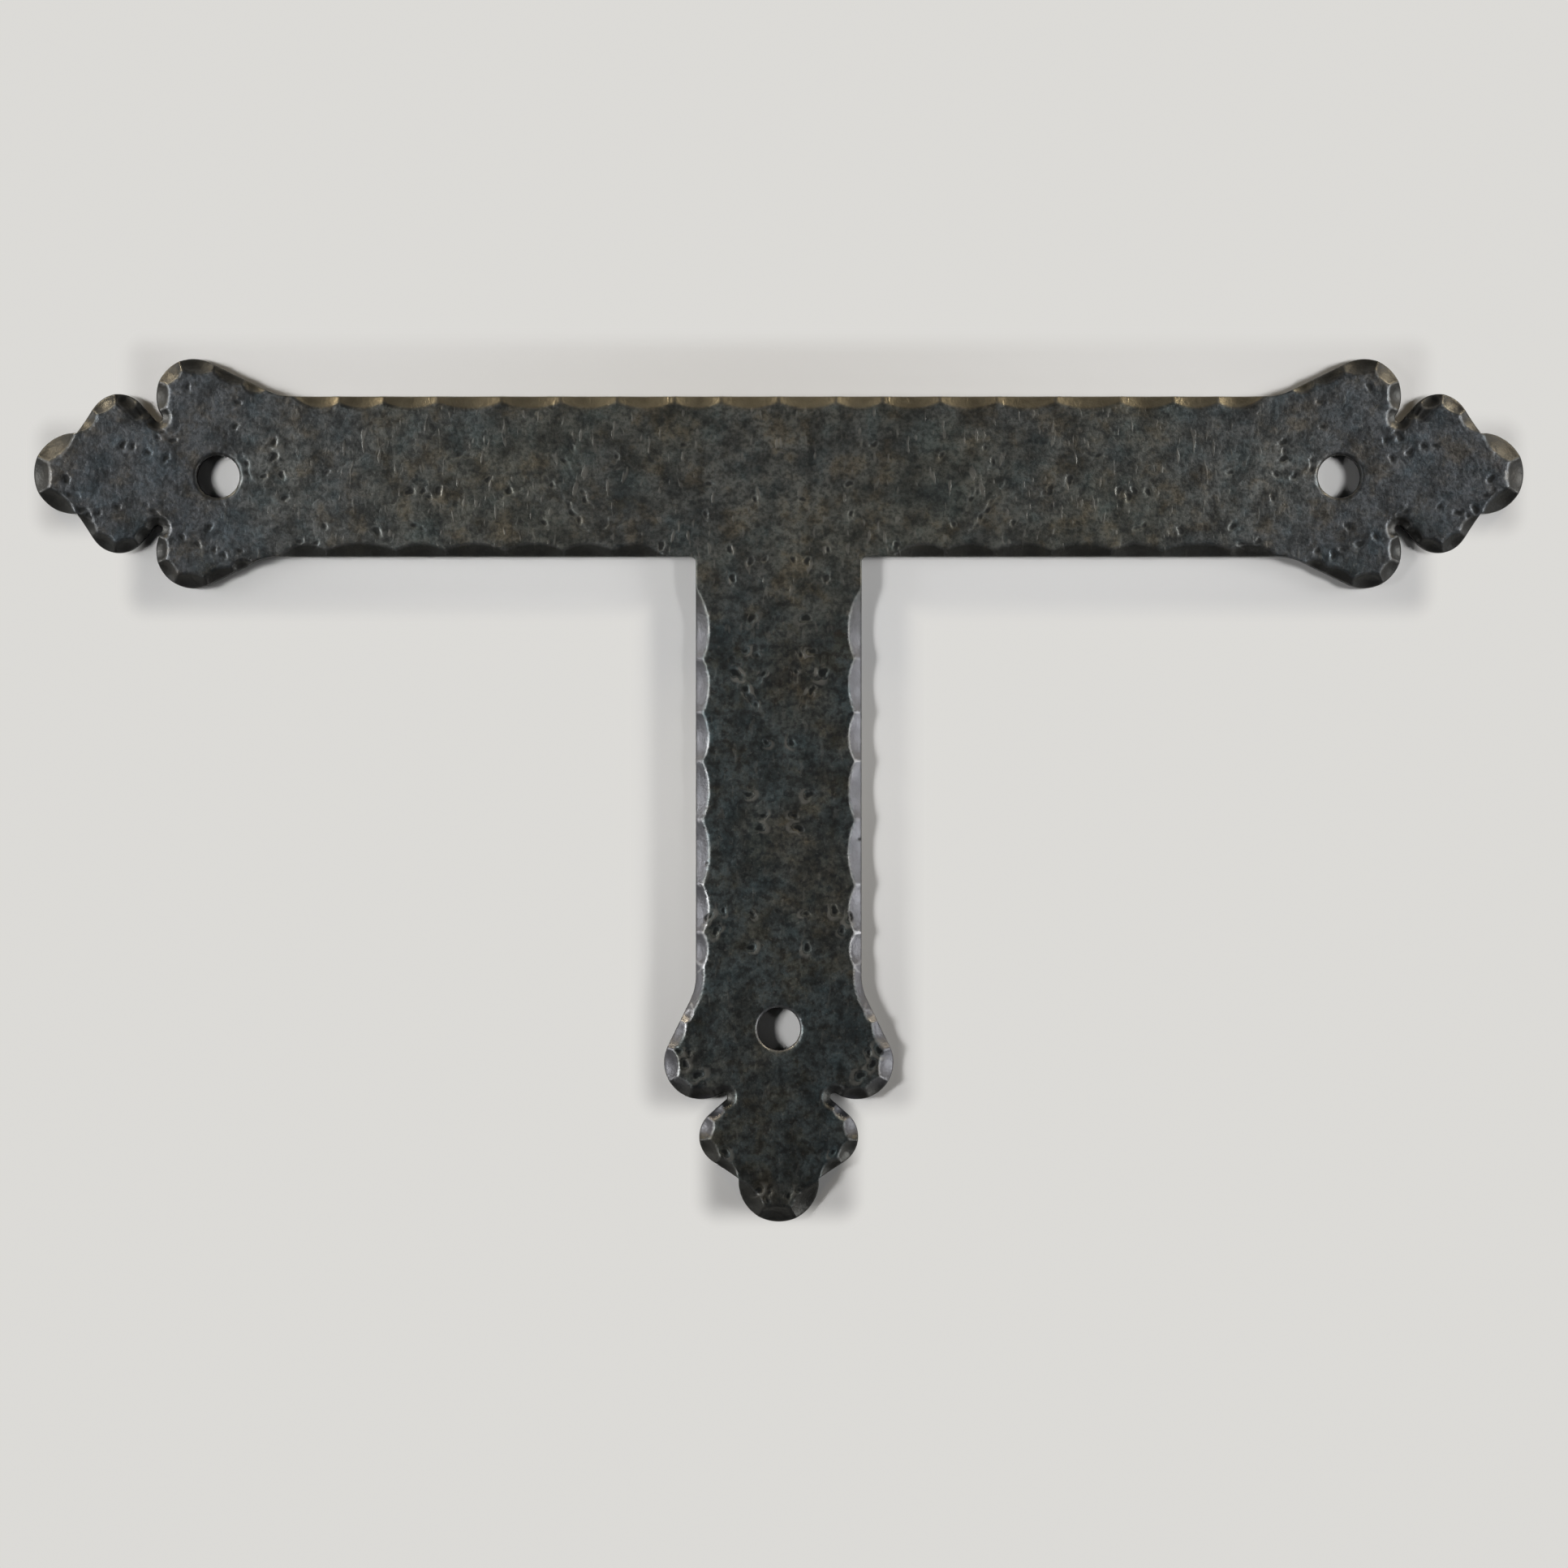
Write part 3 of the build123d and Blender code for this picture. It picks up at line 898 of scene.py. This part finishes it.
    pitted = n.ramp(n.maths("POWER", pit, 2.0), *PIT_ROUGHNESS)
    fine_relief = n.times(n.maths("ADD", flecks, speckle), FINE_RELIEF)
    relief = n.maths("ADD", grain, fine_relief)
    bump = n.add("ShaderNodeBump", Strength=RELIEF_STRENGTH, Distance=RELIEF_DEPTH, Height=relief)
    n.set(n.shader, "Base Color", colour)
    n.set(n.shader, "Metallic", METALLIC)
    n.set(n.shader, "Roughness", n.maths("ADD", n.ramp(mottle, *MOTTLE_ROUGHNESS), pitted))
    n.set(n.shader, "Normal", bump.outputs["Normal"])
    return n.material


plate = bpy.data.objects.new("strap_plate", plate_mesh())
bpy.context.scene.collection.objects.link(plate)
plate.data.materials.append(forged_iron())
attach(plate, "root")
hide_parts(NODE)


# Stage, in metres
FLOOR_SIZE = 8.0
FLOOR_DROP = 0.05 * MM            # keeps the floor clear of the plate's back
FLOOR_COLOUR = (0.80, 0.795, 0.785, 1)
FLOOR_ROUGHNESS = 0.9
BACKDROP_COLOUR = (0.715, 0.705, 0.68, 1)
BACKDROP_START = (0.000, 0.007)   # how far from the plate the floor turns into an even backdrop

# Middle and half size of the ground that the bar, its tips, the leg and its tip cover
ARM_ZONES = (
    ((0.0, 0.0), (0.140, 0.026)),
    ((0.0, 0.0), (0.160, 0.008)),
    ((0.0, -0.068), (0.026, 0.068)),
    ((0.0, -0.080), (0.013, 0.080)),
)

# Lamps: place, target, width and height, power in watts, spread in degrees, colour
WHITE = (1.0, 1.0, 1.0)
WARM = (1.0, 0.84, 0.60)
ARM_LAMPS = {
    "arm_key": ((0.45, 0.03, 0.42), (0.105, 0.02, 0.0), (0.13, 0.13), 0.052, 24, WHITE),
    "arm_card": ((0.50, 0.05, 0.17), (0.120, -0.01, 0.0), (0.30, 0.12), 0.036, 24, WHITE),
    "back_fill": ((0.48, 0.52, 0.07), (0.055, 0.0, 0.0), (0.20, 0.08), 0.041, 15, WARM),
}
LEG_LAMPS = {
    "leg_key": ((-0.42, -0.12, 0.42), (0.0, -0.110, 0.0), (0.13, 0.13), 0.056, 25, WHITE),
    "leg_card": ((0.30, -0.20, 0.11), (0.0, -0.105, 0.0), (0.16, 0.07), 0.036, 50, WHITE),
}
WORLD_COLOUR = (0.9, 0.92, 0.95, 1)
WORLD_STRENGTH = 0.009

# Camera, in millimetres
LENS = 180.0
SENSOR = 36.0


def distance_from_plate(n, place):
    """Distance on the floor from the ground that the plate covers."""
    nearest = FLOOR_SIZE
    for middle, half_size in ARM_ZONES:
        offset = n.vector_maths("ABSOLUTE", n.vector_maths("SUBTRACT", place, (*middle, 0)))
        beyond = n.vector_maths("MAXIMUM", n.vector_maths("SUBTRACT", offset, (*half_size, 0)), (0, 0, 0))
        nearest = n.maths("MINIMUM", n.vector_maths("LENGTH", beyond, output="Value"), nearest)
    return nearest


def floor_material():
    """Pale beside the plate, where it keeps the shadows, and an even backdrop further out."""
    n = Nodes("pale_floor")
    n.set(n.shader, "Base Color", FLOOR_COLOUR)
    n.set(n.shader, "Roughness", FLOOR_ROUGHNESS)
    away = distance_from_plate(n, n.add("ShaderNodeTexCoord").outputs["Object"])
    seen = n.add("ShaderNodeLightPath").outputs
    shown = n.maths("ADD", seen["Is Camera Ray"], seen["Is Glossy Ray"])
    shown = n.maths("ADD", shown, seen["Is Transmission Ray"])
    backdrop = n.add("ShaderNodeEmission", Color=BACKDROP_COLOUR)
    both = n.add("ShaderNodeMixShader")
    n.set(both, 0, n.times(n.ramp(away, *BACKDROP_START), shown))
    n.set(both, 1, n.shader.outputs["BSDF"])
    n.set(both, 2, backdrop.outputs["Emission"])
    n.set(n.tree.nodes["Material Output"], "Surface", both.outputs["Shader"])
    return n.material


def pale_floor():
    """A wide square floor just below the plate."""
    half = FLOOR_SIZE / 2
    corners = [(-half, -half, 0), (half, -half, 0), (half, half, 0), (-half, half, 0)]
    mesh = bpy.data.meshes.new("floor")
    mesh.from_pydata(corners, [], [(0, 1, 2, 3)])
    mesh.materials.append(floor_material())
    floor = bpy.data.objects.new("floor", mesh)
    floor.location.z = -FLOOR_DROP
    bpy.context.scene.collection.objects.link(floor)


def soft_lamp(name, place, target, size, power, spread, colour):
    """A rectangular lamp turned towards a target."""
    lamp = bpy.data.lights.new(name, "AREA")
    lamp.shape = "RECTANGLE"
    lamp.size, lamp.size_y = size
    lamp.energy = power
    lamp.spread = math.radians(spread)
    lamp.color = colour
    holder = bpy.data.objects.new(name, lamp)
    holder.location = place
    holder.rotation_euler = (Vector(target) - Vector(place)).to_track_quat("-Z", "Y").to_euler()
    holder.visible_camera = False
    bpy.context.scene.collection.objects.link(holder)


def studio_light():
    """Each arm of the bar is lit from its own end and the leg mostly from the left, as in the photograph."""
    for side in (-1, 1):
        mirror = np.array([side, 1, 1])
        for name, (place, target, *settings) in ARM_LAMPS.items():
            soft_lamp(name, mirror * place, mirror * target, *settings)
    for name, settings in LEG_LAMPS.items():
        soft_lamp(name, *settings)
    world = bpy.data.worlds.new("studio")
    bpy.context.scene.world = world
    world.use_nodes = True
    world.node_tree.nodes["Background"].inputs["Color"].default_value = WORLD_COLOUR
    world.node_tree.nodes["Background"].inputs["Strength"].default_value = WORLD_STRENGTH


def photo_camera():
    """Straight down on the plate, framed as the photograph is."""
    middle = to_plate((PHOTO_SIZE / 2, PHOTO_SIZE / 2))
    view_width = PHOTO_SIZE * MM_PER_PIXEL
    camera = bpy.data.cameras.new("camera")
    camera.lens = LENS
    camera.sensor_width = SENSOR
    holder = bpy.data.objects.new("camera", camera)
    holder.location = (middle[0] * MM, middle[1] * MM, view_width * LENS / SENSOR * MM)
    bpy.context.scene.collection.objects.link(holder)
    bpy.context.scene.camera = holder


pale_floor()
studio_light()
photo_camera()
bpy.context.scene.view_settings.view_transform = "Standard"
